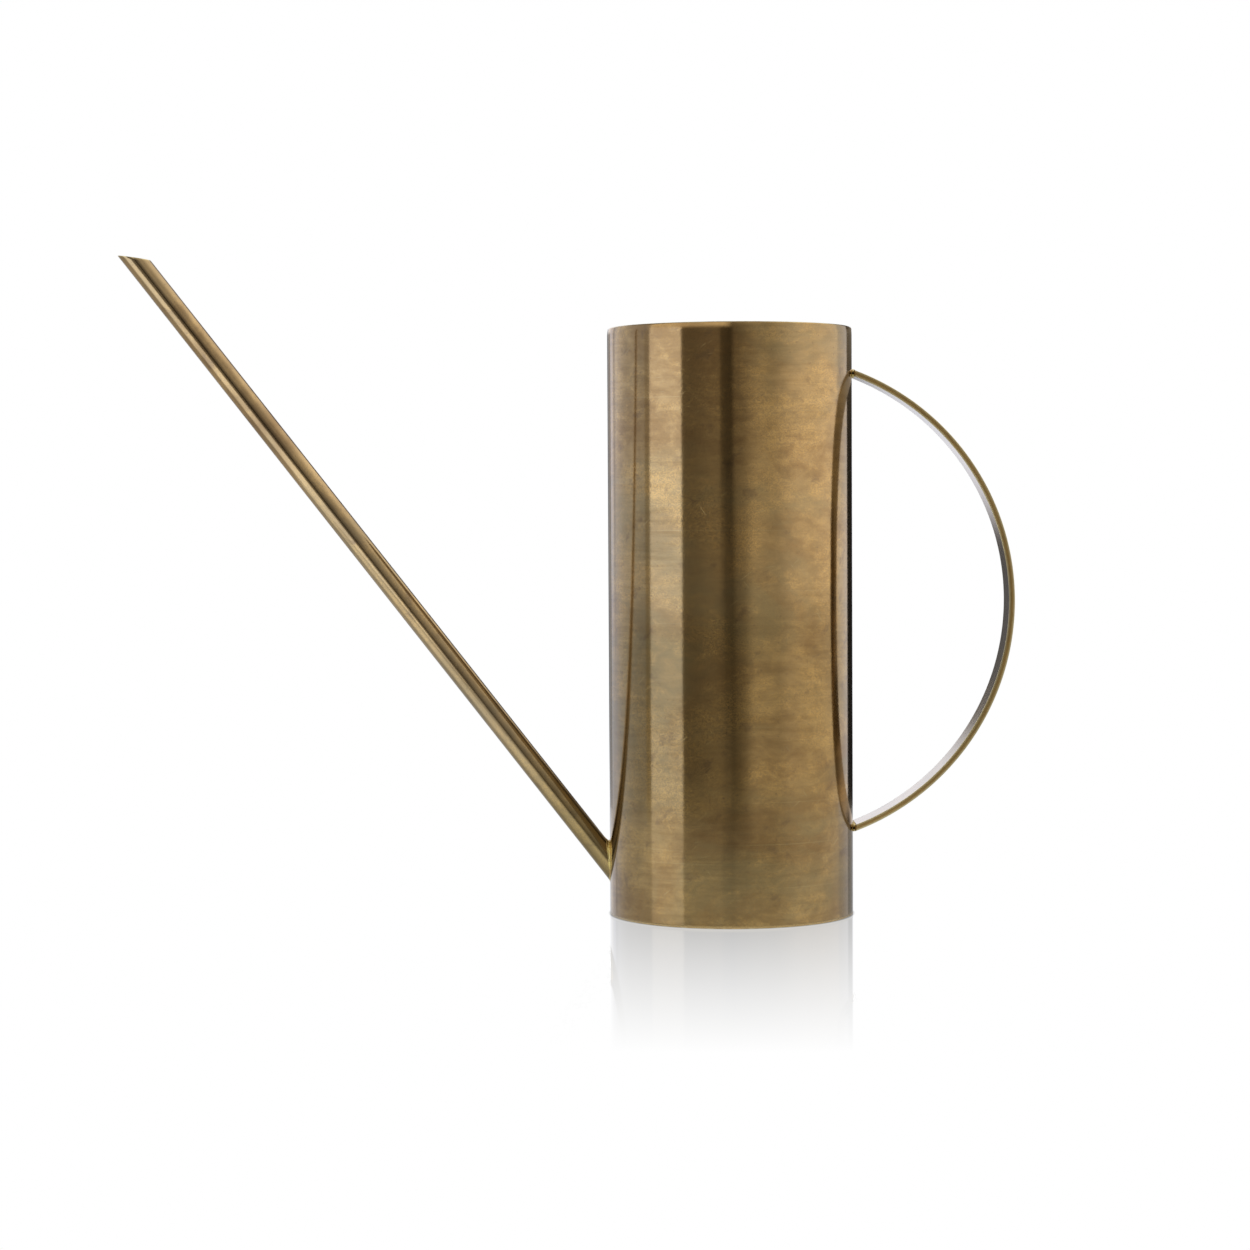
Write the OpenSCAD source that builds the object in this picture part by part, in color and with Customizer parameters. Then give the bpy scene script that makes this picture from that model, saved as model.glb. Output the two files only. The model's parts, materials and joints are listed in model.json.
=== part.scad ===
// Watering can: a rolled sheet can with a long straight spout and a bowed strap handle.
// Millimetres. +Z is up, the spout points along -X and the handle along +X.
// The origin is the centre of the base's underside, where the can stands.

/* [Can] */
// Outside diameter of the can
body_d = 100; // [70:1:140]
// Height of the can, from the underside of the base to the top of the lip
body_h = 240; // [160:1:320]
// Thickness of the rolled sheet
wall_t = 1; // [0.8:0.1:2]
// Width of the butt gap where the rolled sheet's two edges meet
seam_gap = 0.5; // [0.3:0.1:1]

/* [Base] */
// Thickness of the base disc that the rolled sheet stands on
base_t = 0.9; // [0.8:0.1:2]
// Bevel round the base disc's lower edge
base_bevel = 0.3; // [0.1:0.1:0.6]

/* [Spout] */
// Outside diameter of the spout tube
spout_d = 9.5; // [7:0.5:16]
// Wall of the spout tube
spout_wall = 0.8; // [0.5:0.1:1.5]
// Lean of the spout away from the upright
spout_lean = 37.8; // [25:0.2:50]
// Height at which the spout's centre line meets the can's wall
spout_foot = 21; // [16:1:40]
// How far the middle of the spout's mouth stands above the lip
spout_rise = 30; // [5:0.5:60]
// Angle between the mouth's cut and a square cut across the tube
mouth_angle = 46; // [0:1:55]

/* [Handle] */
// Width of the handle strap, front to back
strap_w = 18; // [12:1:30]
// Thickness of the handle strap
strap_t = 2.4; // [1.5:0.1:4]
// Bevel along the strap's four long edges
strap_bevel = 0.25; // [0.1:0.05:0.5]
// How far the bow of the handle stands out from the can's wall
handle_reach = 65.8; // [45:0.2:90]
// Drop from the lip to the outside of the strap's upper end
handle_drop = 17.5; // [8:0.5:40]
// Height of the outside of the strap's lower end above the floor
handle_foot = 34; // [20:0.5:60]
// Gap between the strap's square-cut ends and the can's wall, filled by braze
strap_gap = 0.4; // [0.2:0.1:1]

/* [Brazing] */
// Radius of the hollow fillet where the base meets the wall, inside the can
base_fillet = 2; // [1:0.1:4]
// How far the spout's braze stands out from the can's wall
spout_braze_h = 1.8; // [1:0.1:3]
// How far the spout's braze spreads round the tube
spout_braze_w = 1.3; // [0.8:0.1:2.5]
// How far the handle's braze beads stand proud of the strap's faces
strap_bead = 0.7; // [0.4:0.1:1.5]
// Radius of the low bead along the inside of the seam
seam_bead = 1.4; // [1:0.1:2.5]
// How far below the lip the seam's bead stops
seam_stop = 4; // [2:0.5:10]

/* [Hidden] */
$fn = 360;

brass = [0.55, 0.44, 0.27];
bright_brass = [0.78, 0.64, 0.33];

// A margin that carries a cutting shape clear of what it cuts
past = 1;

body_r = body_d / 2;
inside_r = body_r - wall_t;

// The spout's frame: its Z runs up the tube's centre line from the can's wall
spout_bore = spout_d - 2 * spout_wall;
spout_len = (body_h + spout_rise - spout_foot) / cos(spout_lean);
// Length of tube past the middle of the mouth that the slanted cut still reaches
mouth_reach = spout_d / 2 * tan(mouth_angle) + past;
// Length of tube behind the wall's line that the coped end still reaches
cope_reach = spout_d / tan(spout_lean) + spout_d;

// The handle's bow is an arc through the ends of the strap on the can's wall
handle_span = body_h - handle_drop - handle_foot;
bow_r = (pow(handle_span / 2, 2) + pow(handle_reach, 2)) / (2 * handle_reach);
bow_x = body_r + handle_reach - bow_r;
bow_z = handle_foot + handle_span / 2;
strap_end_x = body_r + strap_gap;
strap_mid_r = bow_r - strap_t / 2;
// Half the height between the middles of the strap's two ends
strap_end_rise = sqrt(pow(strap_mid_r, 2) - pow(strap_end_x - bow_x, 2));
bead_r = strap_t / 2 + strap_bead;

// The rolled sheet's section, revolved: a plain wall with a fully rounded lip
module wall_ring() {
    rotate_extrude() {
        translate([inside_r, base_t]) square([wall_t, body_h - base_t - wall_t / 2]);
        translate([body_r - wall_t / 2, body_h - wall_t / 2]) circle(r = wall_t / 2);
    }
}

// The butt gap down the handle side of the can
module seam_slot() {
    translate([inside_r - past, -seam_gap / 2, 0]) cube([wall_t + 2 * past, seam_gap, body_h + past]);
}

// Places its children in the spout's frame
module along_spout() {
    translate([-body_r, 0, spout_foot]) rotate([0, -spout_lean, 0]) children();
}

// A rod of the spout's direction that reaches through the wall and up to the mouth
module spout_rod(r) {
    along_spout() translate([0, 0, -cope_reach]) cylinder(r = r, h = cope_reach + spout_len + mouth_reach);
}

// The strap's bow as a whole ring with bevelled edges
module bow_ring() {
    half = strap_w / 2;
    translate([bow_x, 0, bow_z]) rotate([90, 0, 0]) rotate_extrude()
        polygon([
            [bow_r - strap_t, -half + strap_bevel], [bow_r - strap_t + strap_bevel, -half],
            [bow_r - strap_bevel, -half], [bow_r, -half + strap_bevel],
            [bow_r, half - strap_bevel], [bow_r - strap_bevel, half],
            [bow_r - strap_t + strap_bevel, half], [bow_r - strap_t, half - strap_bevel]
        ]);
}

module body_shell() {
    color(brass) difference() {
        wall_ring();
        seam_slot();
        spout_rod(spout_bore / 2);
    }
}

module base_disc() {
    color(brass) union() {
        cylinder(r1 = body_r - base_bevel, r2 = body_r, h = base_bevel);
        translate([0, 0, base_bevel]) cylinder(r = body_r, h = base_t - base_bevel);
    }
}

module spout_tube() {
    color(brass) difference() {
        spout_rod(spout_d / 2);
        spout_rod(spout_bore / 2);
        // The coped foot follows the round of the can
        translate([0, 0, -body_h]) cylinder(r = body_r, h = 3 * body_h);
        // The slanted mouth
        along_spout() translate([0, 0, spout_len]) rotate([0, mouth_angle, 0])
            translate([-2 * mouth_reach - spout_d, -spout_d, 0])
                cube([4 * mouth_reach + 2 * spout_d, 2 * spout_d, 2 * mouth_reach + spout_d]);
    }
}

module handle_strap() {
    color(brass) difference() {
        bow_ring();
        translate([bow_x - bow_r - past, -strap_w, bow_z - bow_r - past])
            cube([strap_end_x - bow_x + bow_r + past, 2 * strap_w, 2 * bow_r + 2 * past]);
    }
}

module seam_braze() {
    bead_foot = base_t + base_fillet;
    color(bright_brass) union() {
        intersection() {
            wall_ring();
            seam_slot();
        }
        difference() {
            translate([inside_r, 0, bead_foot]) cylinder(r = seam_bead, h = body_h - seam_stop - bead_foot);
            difference() {
                cylinder(r = body_r + seam_bead, h = body_h);
                translate([0, 0, -past]) cylinder(r = inside_r, h = body_h + 2 * past);
            }
        }
    }
}

module base_braze() {
    color(bright_brass) rotate_extrude() difference() {
        translate([inside_r - base_fillet, base_t]) square(base_fillet);
        translate([inside_r - base_fillet, base_t + base_fillet]) circle(r = base_fillet);
    }
}

// A collar that hugs the wall round the spout's foot, heavier in the narrow corner above it
module spout_braze() {
    collar_r = spout_d / 2 + spout_braze_w;
    color(bright_brass) difference() {
        intersection() {
            along_spout() translate([spout_braze_w / 2, 0, -cope_reach]) cylinder(r = collar_r, h = 3 * cope_reach);
            cylinder(r = body_r + spout_braze_h, h = body_h);
            translate([-body_r - spout_braze_h, -collar_r, 0]) cube([body_r, 2 * collar_r, body_h]);
        }
        translate([0, 0, -past]) cylinder(r = body_r, h = body_h + 2 * past);
        spout_rod(spout_d / 2);
    }
}

// A round-ended bead across one end of the strap, filling the gap to the wall
module strap_braze(z) {
    bead_half = (strap_w - bead_r) / 2;
    color(bright_brass) difference() {
        translate([strap_end_x, 0, z]) rotate([90, 0, 0]) rotate_extrude() intersection() {
            union() {
                translate([0, -bead_half]) square([bead_r, 2 * bead_half]);
                for (side = [-1, 1]) translate([0, side * bead_half]) circle(r = bead_r, $fn = 64);
            }
            translate([0, -strap_w]) square([2 * bead_r, 2 * strap_w]);
        }
        translate([0, 0, -past]) cylinder(r = body_r, h = body_h + 2 * past);
        handle_strap();
    }
}

module handle_top_braze() {
    strap_braze(bow_z + strap_end_rise);
}

module handle_bottom_braze() {
    strap_braze(bow_z - strap_end_rise);
}

body_shell();
base_disc();
spout_tube();
handle_strap();
seam_braze();
base_braze();
spout_braze();
handle_top_braze();
handle_bottom_braze();
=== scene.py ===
import json
import math

import bmesh
import bpy
import numpy as np
from bpy.props import FloatProperty, FloatVectorProperty, PointerProperty
from mathutils import Matrix, Vector


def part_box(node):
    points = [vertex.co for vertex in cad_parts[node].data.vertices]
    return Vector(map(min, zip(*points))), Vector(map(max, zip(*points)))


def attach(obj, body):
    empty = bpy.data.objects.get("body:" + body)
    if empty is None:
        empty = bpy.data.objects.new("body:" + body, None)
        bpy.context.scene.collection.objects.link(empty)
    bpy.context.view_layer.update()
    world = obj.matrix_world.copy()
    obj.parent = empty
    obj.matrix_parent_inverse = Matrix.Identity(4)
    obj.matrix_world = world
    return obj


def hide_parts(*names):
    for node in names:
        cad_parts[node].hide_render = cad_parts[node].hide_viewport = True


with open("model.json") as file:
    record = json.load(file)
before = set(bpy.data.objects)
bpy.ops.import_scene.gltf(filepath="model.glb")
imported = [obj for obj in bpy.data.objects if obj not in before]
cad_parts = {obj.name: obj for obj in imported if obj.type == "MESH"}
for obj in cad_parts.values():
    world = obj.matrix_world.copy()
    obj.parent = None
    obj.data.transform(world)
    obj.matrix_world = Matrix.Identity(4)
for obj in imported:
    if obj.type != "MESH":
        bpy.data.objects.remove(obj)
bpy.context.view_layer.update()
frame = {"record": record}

bl_info = {
    "name": "Brass Watering Can",
    "version": (1, 0, 0),
    "blender": (4, 5, 0),
    "location": "View3D > Sidebar > Watering Can",
    "description": "Makes an aged brass watering can and its studio round a CAD frame",
    "category": "Add Mesh",
}

BODY = "root"
MM = 0.001
WHOLE_TURN = 2 * math.pi


# ---------------------------------------------------------------- sizes taken from the frame

def mount(name):
    """The named mount's place, axis and sizes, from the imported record."""
    found = [m for m in frame["record"]["mounts"] if m["name"] == name][0]
    axis = np.array(found["axis"], float)
    return np.array(found["pos_m"], float), axis / np.linalg.norm(axis), found["dims"]


def node_box(name):
    """A CAD node's lowest and highest corners as arrays, in metres."""
    low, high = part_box(name)
    return np.array(low, float), np.array(high, float)


SHELL_LOW, SHELL_HIGH = node_box("body_shell")
SPOUT_LOW, SPOUT_HIGH = node_box("spout_tube")
STRAP_LOW, STRAP_HIGH = node_box("handle_strap")
MOUTH_POINT, SPOUT_AXIS, MOUTH_DIMS = mount("spout_mouth")

CAN_R = float(SHELL_HIGH[1])
CAN_TOP = float(SHELL_HIGH[2])
BASE_TOP = float(SHELL_LOW[2])
TUBE_R = float(SPOUT_HIGH[1])
BORE_R = MOUTH_DIMS["r_mm"] * MM
# The spout's cross axes: one in the plane of the can's axis, leaning towards the can, and one across it
SPOUT_SIDE = np.array([SPOUT_AXIS[2], 0, -SPOUT_AXIS[0]])
SPOUT_ACROSS = np.array([0.0, 1.0, 0.0])
# Where the spout's centre line meets the can's outer wall
SPOUT_FOOT = MOUTH_POINT - SPOUT_AXIS * (MOUTH_POINT[0] + CAN_R) / SPOUT_AXIS[0]
# The strap's bow, from the chord at its ends and how far it stands out
STRAP_SPAN = float(STRAP_HIGH[2] - STRAP_LOW[2])
STRAP_REACH = float(STRAP_HIGH[0] - STRAP_LOW[0])
BOW_R = ((STRAP_SPAN / 2) ** 2 + STRAP_REACH ** 2) / (2 * STRAP_REACH)
BOW_X = float(STRAP_HIGH[0]) - BOW_R
BOW_Z = float(STRAP_HIGH[2] + STRAP_LOW[2]) / 2


# ---------------------------------------------------------------- what a user would change

def length(name, description, mm):
    """A length as a setting, its default given in millimetres."""
    return FloatProperty(name=name, description=description, default=mm * MM, unit="LENGTH")


def metal(name, description, colour):
    """A metal's colour as a setting."""
    return FloatVectorProperty(name=name, description=description, default=colour, size=3,
                               subtype="COLOR", min=0, max=1)


class CanShape(bpy.types.PropertyGroup):
    """Sizes of the can's sheet metal."""
    wall: length("Wall", "Thickness of the rolled sheet", 1.0)
    lip_outer: length("Outer Lip", "Radius of the lip's outer edge", 0.68)
    turn_in: length("Turn In", "How far the wall leans in just below its lip", 0.22)
    seam_gap: length("Seam Gap", "Width of the butt seam", 0.5)
    seam_bead: length("Seam Bead", "Radius of the bead inside the seam", 1.4)
    seam_stop: length("Seam Stop", "How far below the lip the inner bead ends", 4.0)
    base_bevel: length("Base Bevel", "Radius round the base's lower edge", 0.3)
    base_fillet: length("Base Fillet", "Radius of the fillet inside the base", 2.0)


class SpoutShape(bpy.types.PropertyGroup):
    """Sizes of the spout tube and the braze at its foot."""
    mouth_angle: FloatProperty(name="Mouth Angle", description="Slant of the mouth from a square cut",
                               default=math.radians(46), subtype="ANGLE")
    rim: length("Rim", "Radius that softens the mouth's edges", 0.18)
    braze_up: length("Braze Up Tube", "How far the fillet climbs the tube", 0.75)
    braze_out: length("Braze Out", "How far the fillet spreads on the can", 0.6)
    pool: length("Pool", "Extra braze in the narrow corner above the tube", 2.6)


class StrapShape(bpy.types.PropertyGroup):
    """Sizes of the handle strap and its braze beads."""
    thickness: length("Thickness", "Thickness of the strap", 2.4)
    edge: length("Edge", "Radius along the strap's long edges", 0.22)
    bead_x: length("Bead Depth", "Half the bead's depth off the can's wall", 0.95)
    bead_z: length("Bead Height", "Half the bead's height", 1.65)


class BrassLook(bpy.types.PropertyGroup):
    """Colours of the brass."""
    gold: metal("Gold", "Brass where the patina is thin", (0.73, 0.46, 0.168))
    brown: metal("Brown", "Brass under brown patina", (0.49, 0.285, 0.10))
    olive: metal("Olive", "Brass under a greenish bloom", (0.54, 0.37, 0.15))
    smudge: metal("Smudge", "Dark spots in the patina", (0.33, 0.20, 0.09))
    bright: metal("Bright", "Brass rubbed bright", (0.88, 0.70, 0.34))
    braze: metal("Braze", "Brazing metal", (0.82, 0.62, 0.20))
    second: metal("Second Reflection", "Brass as another piece reflects it", (0.33, 0.27, 0.18))


class StudioLook(bpy.types.PropertyGroup):
    """The studio's floor."""
    mirror: FloatProperty(name="Floor Mirror", description="Strength of the floor's reflection at the can",
                          default=0.46, min=0, max=1)
    mirror_reach: length("Mirror Reach", "Distance at which that reflection is gone", 320)


class WateringCan(bpy.types.PropertyGroup):
    """All the settings, on the scene."""
    can: PointerProperty(type=CanShape)
    spout: PointerProperty(type=SpoutShape)
    strap: PointerProperty(type=StrapShape)
    brass: PointerProperty(type=BrassLook)
    studio: PointerProperty(type=StudioLook)


def settings():
    """The scene's settings."""
    return bpy.context.scene.watering_can


# ---------------------------------------------------------------- numpy surfaces

def grid_faces(rows, columns, wrap_rows=False, wrap_columns=False):
    """Quads over a rows x columns grid numbered row by row; wrapping joins the last line to the first."""
    i = np.arange(rows if wrap_rows else rows - 1)
    j = np.arange(columns if wrap_columns else columns - 1)
    i, j = [a.ravel() for a in np.meshgrid(i, j, indexing="ij")]
    i2, j2 = (i + 1) % rows, (j + 1) % columns
    return np.stack([i * columns + j, i * columns + j2, i2 * columns + j2, i2 * columns + j], 1)


def cap_faces(ring):
    """Quads that close a loop whose first half is paired with its second half read backwards."""
    half = len(ring) // 2
    a, b = ring[:half], ring[::-1][:half]
    return np.stack([a[:-1], a[1:], b[1:], b[:-1]], 1)


def consistent(points, faces):
    """The faces in an order where neighbours agree and all point outwards, found by the mesh library."""
    mesh = bpy.data.meshes.new("check")
    mesh.from_pydata(points.tolist(), [], faces.tolist())
    made = bmesh.new()
    made.from_mesh(mesh)
    bmesh.ops.recalc_face_normals(made, faces=made.faces)
    made.to_mesh(mesh)
    made.free()
    fixed = np.empty(len(mesh.loops), np.int32)
    mesh.loops.foreach_get("vertex_index", fixed)
    bpy.data.meshes.remove(mesh)
    return fixed.reshape(-1, 4)


def bar_faces(rows, columns):
    """Quads over a bar's wrapped rows, and over both its ends."""
    ends = [cap_faces(row * columns + np.arange(columns)) for row in (0, rows - 1)]
    return np.concatenate([grid_faces(rows, columns, wrap_columns=True), *ends])


def whole_circle(count):
    """That many angles evenly round a circle."""
    return np.linspace(0, WHOLE_TURN, count, endpoint=False)


def turned_out(points, faces):
    """The faces, all flipped if the closed surface has a negative volume, so that they point outwards."""
    p = points[faces]
    volume = np.einsum("ij,ij->i", np.cross(p[:, 1] - p[:, 0], p[:, 2] - p[:, 0]), p[:, 0]).sum()
    volume += np.einsum("ij,ij->i", np.cross(p[:, 2] - p[:, 0], p[:, 3] - p[:, 0]), p[:, 0]).sum()
    return faces if volume > 0 else faces[:, ::-1]


def make_piece(name, points, faces, sheet, wear_and_painted_light, material, slot_name, *nodes, round_trip=None):
    """A smooth-shaded mesh object that rides on the can and stands for the given CAD nodes. sheet holds each
    point's place on the unrolled metal in metres. The mask after sheet is 1 on exposed edges, which are
    painted bright partly as rubbed brass and partly as painted highlight, or where a braze's gap is painted
    near black as painted shade. round_trip is the axis of sheet that runs round a closed ring, and how long
    that ring is."""
    faces = turned_out(points, consistent(points, faces))
    mesh = bpy.data.meshes.new(name)
    mesh.vertices.add(len(points))
    mesh.vertices.foreach_set("co", points.astype(np.float32).ravel())
    mesh.loops.add(faces.size)
    mesh.loops.foreach_set("vertex_index", faces.astype(np.int32).ravel())
    mesh.polygons.add(len(faces))
    mesh.polygons.foreach_set("loop_start", np.arange(0, faces.size, 4, dtype=np.int32))
    mesh.update(calc_edges=True)
    corners = sheet[faces]
    if round_trip:
        # a quad across the ring's join takes its far corners a whole turn on, or the pattern is smeared
        axis, once_round = round_trip
        behind = corners[:, :1, axis] - corners[..., axis]
        corners[..., axis] += once_round * np.round(behind / once_round)
    layer = mesh.uv_layers.new(name="Sheet")
    layer.data.foreach_set("uv", corners.astype(np.float32).ravel())
    outside = np.hypot(points[:, 0], points[:, 1]) > CAN_R - settings().can.wall / 2
    for label, values in (("wear_and_painted_light", wear_and_painted_light), ("outside", outside)):
        attribute = mesh.attributes.new(label, "FLOAT", "POINT")
        attribute.data.foreach_set("value", values.astype(np.float32))
    mesh.polygons.foreach_set("use_smooth", np.ones(len(faces), bool))
    mesh.validate()
    piece = bpy.data.objects.new(name, mesh)
    bpy.context.scene.collection.objects.link(piece)
    mesh.materials.append(material)
    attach(piece, BODY)
    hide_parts(*nodes)
    return piece


def wave(t, *terms):
    """A smooth uneven line: the sum of size x sin(count x t + start) over the terms."""
    return sum(size * np.sin(count * t + start) for size, count, start in terms)


def on_can(height, across, radius):
    """Points on a cylinder round the can's axis: across is the arc length from the spout's side."""
    turn = across / radius
    return np.stack([-radius * np.cos(turn), radius * np.sin(turn), height], -1)


def rod_meets_cylinder(angle, rod_r, radius):
    """How far along the spout's axis, from its foot, the line at that angle round a rod meets a cylinder
    round the can's axis. The line is foot + rod_r (cos a side + sin a across) + t axis, and t solves
    x^2 + y^2 = radius^2."""
    x = SPOUT_FOOT[0] + rod_r * np.cos(angle) * SPOUT_SIDE[0]
    y = rod_r * np.sin(angle)
    return (-np.sqrt(radius ** 2 - y ** 2) - x) / SPOUT_AXIS[0]


def rod_point(angle, rod_r, along):
    """Points on a rod round the spout's axis: foot + rod_r (cos a side + sin a across) + along axis."""
    angle, rod_r, along = np.broadcast_arrays(angle, rod_r, along)
    return (SPOUT_FOOT + (rod_r * np.cos(angle))[..., None] * SPOUT_SIDE
            + (rod_r * np.sin(angle))[..., None] * SPOUT_ACROSS + along[..., None] * SPOUT_AXIS)


# ---------------------------------------------------------------- shader building

def add(tree, kind, **settings_):
    """A node in the tree. Keys that start with in_ set or link an input; others set the node itself."""
    made = tree.nodes.new(kind)
    links = {}
    for key, value in settings_.items():
        if key.startswith("in_"):
            links[key[3:]] = value
        else:
            setattr(made, key, value)
    for key, value in links.items():
        name = int(key) if key.isdigit() else key.replace("_", " ")
        socket = made.inputs[name]
        if isinstance(value, bpy.types.NodeSocket):
            tree.links.new(value, socket)
        else:
            socket.default_value = value
    return made


def maths(tree, operation, a, b=0.0, clamp=False):
    """The output of one Math node."""
    return add(tree, "ShaderNodeMath", operation=operation, use_clamp=clamp, in_0=a, in_1=b).outputs[0]


def times(tree, a, b):
    """a x b."""
    return maths(tree, "MULTIPLY", a, b)


def plus(tree, total, *others):
    """The sum of all the values."""
    for other in others:
        total = maths(tree, "ADD", total, other)
    return total


def remap(tree, value, low, high, to_low=0.0, to_high=1.0, smooth=True):
    """value taken from low..high to to_low..to_high, with soft ends if smooth."""
    kind = "SMOOTHSTEP" if smooth else "LINEAR"
    return add(tree, "ShaderNodeMapRange", interpolation_type=kind, in_Value=value, in_From_Min=low,
               in_From_Max=high, in_To_Min=to_low, in_To_Max=to_high).outputs[0]


def blend_colour(tree, factor, a, b, mode="MIX"):
    """The colour output of one Mix node."""
    made = tree.nodes.new("ShaderNodeMix")
    made.data_type = "RGBA"
    made.blend_type = mode
    for socket, value in zip((made.inputs[0], made.inputs[6], made.inputs[7]), (factor, a, b)):
        if isinstance(value, bpy.types.NodeSocket):
            tree.links.new(value, socket)
        else:
            socket.default_value = value if isinstance(value, float) else (*value[:3], 1.0)
    return made.outputs[2]


def tinted(tree, colour, tint):
    """The colour times the tint."""
    return blend_colour(tree, 1.0, colour, tint, "MULTIPLY")


def stretched_noise(tree, place, scale, turn=0.0, shift=(0, 0, 0), detail=3.0, roughness=0.55, warp=0.0):
    """Noise on the sheet, stretched by scale (repeats per metre along, across) after a turn."""
    moved = add(tree, "ShaderNodeMapping", in_Vector=place, in_Rotation=(0, 0, turn), in_Location=shift)
    spread = add(tree, "ShaderNodeMapping", in_Vector=moved.outputs[0], in_Scale=(scale[0], scale[1], 1))
    return add(tree, "ShaderNodeTexNoise", in_Vector=spread.outputs[0], in_Scale=1.0, in_Detail=detail,
               in_Roughness=roughness, in_Distortion=warp).outputs[0]


def new_group(name, inputs, outputs):
    """An empty shader node group. inputs are (name, type, default) and outputs are (name, type)."""
    group = bpy.data.node_groups.new(name, "ShaderNodeTree")
    for label, kind, default in inputs:
        socket = group.interface.new_socket(name=label, in_out="INPUT", socket_type=kind)
        if default is not None:
            socket.default_value = default
    for label, kind in outputs:
        group.interface.new_socket(name=label, in_out="OUTPUT", socket_type=kind)
    return group, group.nodes.new("NodeGroupInput").outputs, group.nodes.new("NodeGroupOutput").inputs


def patina_group():
    """Clouds, brushed streaks, hairlines, smudges, flecks and bloom on old lacquered brass, and painted
    glints, as masks from 0 to 1, and the grain of its surface as a height from 0 to 1."""
    names = ("Cloud", "Streak", "Line", "Smudge", "Fleck", "Bloom", "Painted Glint", "Grain")
    group, given, out = new_group(
        "Patina", [("Sheet", "NodeSocketVector", None), ("Shift", "NodeSocketFloat", 0.0)],
        [(name, "NodeSocketFloat") for name in names])
    shift = add(group, "ShaderNodeCombineXYZ", in_Z=given["Shift"]).outputs[0]
    place = add(group, "ShaderNodeVectorMath", operation="ADD", in_0=given["Sheet"], in_1=shift).outputs[0]

    def noise(along, across, degrees=0.0, **choices):
        """Noise with that many repeats per metre along and across the brushing."""
        return stretched_noise(group, place, (along, across), turn=math.radians(degrees), **choices)

    cloud = noise(18, 26, detail=5.0, roughness=0.6, warp=0.7)
    mottle = noise(120, 190, shift=(3, 1, 0), detail=5.0, roughness=0.62, warp=0.6)
    cloud = remap(group, plus(group, times(group, cloud, 0.66), times(group, mottle, 0.34)), 0.375, 0.625)
    streak = noise(38, 420, 0.6, detail=6.0, roughness=0.68)
    calm = noise(16, 22, shift=(8, 1, 0))
    streak = times(group, remap(group, streak, 0.38, 0.70), remap(group, calm, 0.38, 0.60, 0.35, 1.0))
    line = noise(7, 1500, -0.3, shift=(1, 9, 0), detail=1.0)
    smudge = noise(85, 120, 25, shift=(2, 7, 0), detail=5.0, roughness=0.62, warp=0.25)
    fleck = noise(900, 700, detail=2.0, roughness=0.5)
    bloom = noise(9, 15, shift=(5, 2, 0), detail=5.0, roughness=0.62, warp=0.8)
    # painted glints: thin winding lines, brightened in colour, where one noise crosses its middle value,
    # kept to patches where the cloud is thin
    worm = noise(640, 900, shift=(7, 4, 0), detail=2.0, roughness=0.6, warp=0.8)
    worm = maths(group, "ABSOLUTE", maths(group, "SUBTRACT", worm, 0.5))
    patch = noise(34, 46, shift=(6, 6, 0), detail=4.0, roughness=0.6)
    painted_glint = times(group, remap(group, worm, 0.085, 0.01), remap(group, patch, 0.38, 0.56))
    painted_glint = times(group, painted_glint, remap(group, cloud, 0.2, 1.0, 1.0, 0.25))
    grain = noise(480, 760, shift=(4, 4, 0), roughness=0.6, warp=1.2)
    made = (cloud, streak, remap(group, line, 0.68, 0.80), remap(group, smudge, 0.585, 0.70),
            remap(group, fleck, 0.64, 0.74), remap(group, bloom, 0.42, 0.60), painted_glint, grain)
    for name, value in zip(names, made):
        group.links.new(value, out[name])
    return group


def scratch_group():
    """Short fine scratches lying three ways across the brushing, in patches, as a mask from 0 to 1."""
    group, given, out = new_group(
        "Scratches", [("Sheet", "NodeSocketVector", None), ("Amount", "NodeSocketFloat", 1.0)],
        [("Scratch", "NodeSocketFloat")])
    total = 0.0
    for degrees, place in ((38, (2, 0, 0)), (-52, (0, 3, 0)), (8, (4, 4, 0))):
        line = stretched_noise(group, given["Sheet"], (95, 2600), turn=math.radians(degrees), shift=place,
                               detail=1.0, roughness=0.4)
        total = maths(group, "MAXIMUM", total, remap(group, line, 0.735, 0.80))
    patch = stretched_noise(group, given["Sheet"], (40, 40), shift=(9, 9, 0), detail=1.0)
    total = times(group, total, remap(group, patch, 0.42, 0.62))
    group.links.new(times(group, total, given["Amount"]), out["Scratch"])
    return group


def rubbed_and_highlit_edge_group():
    """Edges painted bright, partly as rubbed brass and partly as painted highlight: the piece's own edge
    attribute, broken up by noise.
    """
    group, given, out = new_group(
        "Rubbed And Highlit Edge", [("Sheet", "NodeSocketVector", None)], [("Rubbed And Highlit", "NodeSocketFloat")])
    edge = add(group, "ShaderNodeAttribute", attribute_name="wear_and_painted_light").outputs["Fac"]
    rough = stretched_noise(group, given["Sheet"], (260, 260))
    broken = plus(group, edge, times(group, maths(group, "SUBTRACT", rough, 0.5), 0.7))
    group.links.new(remap(group, broken, 0.35, 0.8), out["Rubbed And Highlit"])
    return group


def shared_group(name, maker):
    """The named group, made the first time it is asked for."""
    return bpy.data.node_groups.get(name) or maker()


# The look of the brass: how much of a mask reaches the colour, how rough the surface is and, in metres, how
# high its marks stand
STREAK_TINT = (0.80, 0.77, 0.72)
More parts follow.
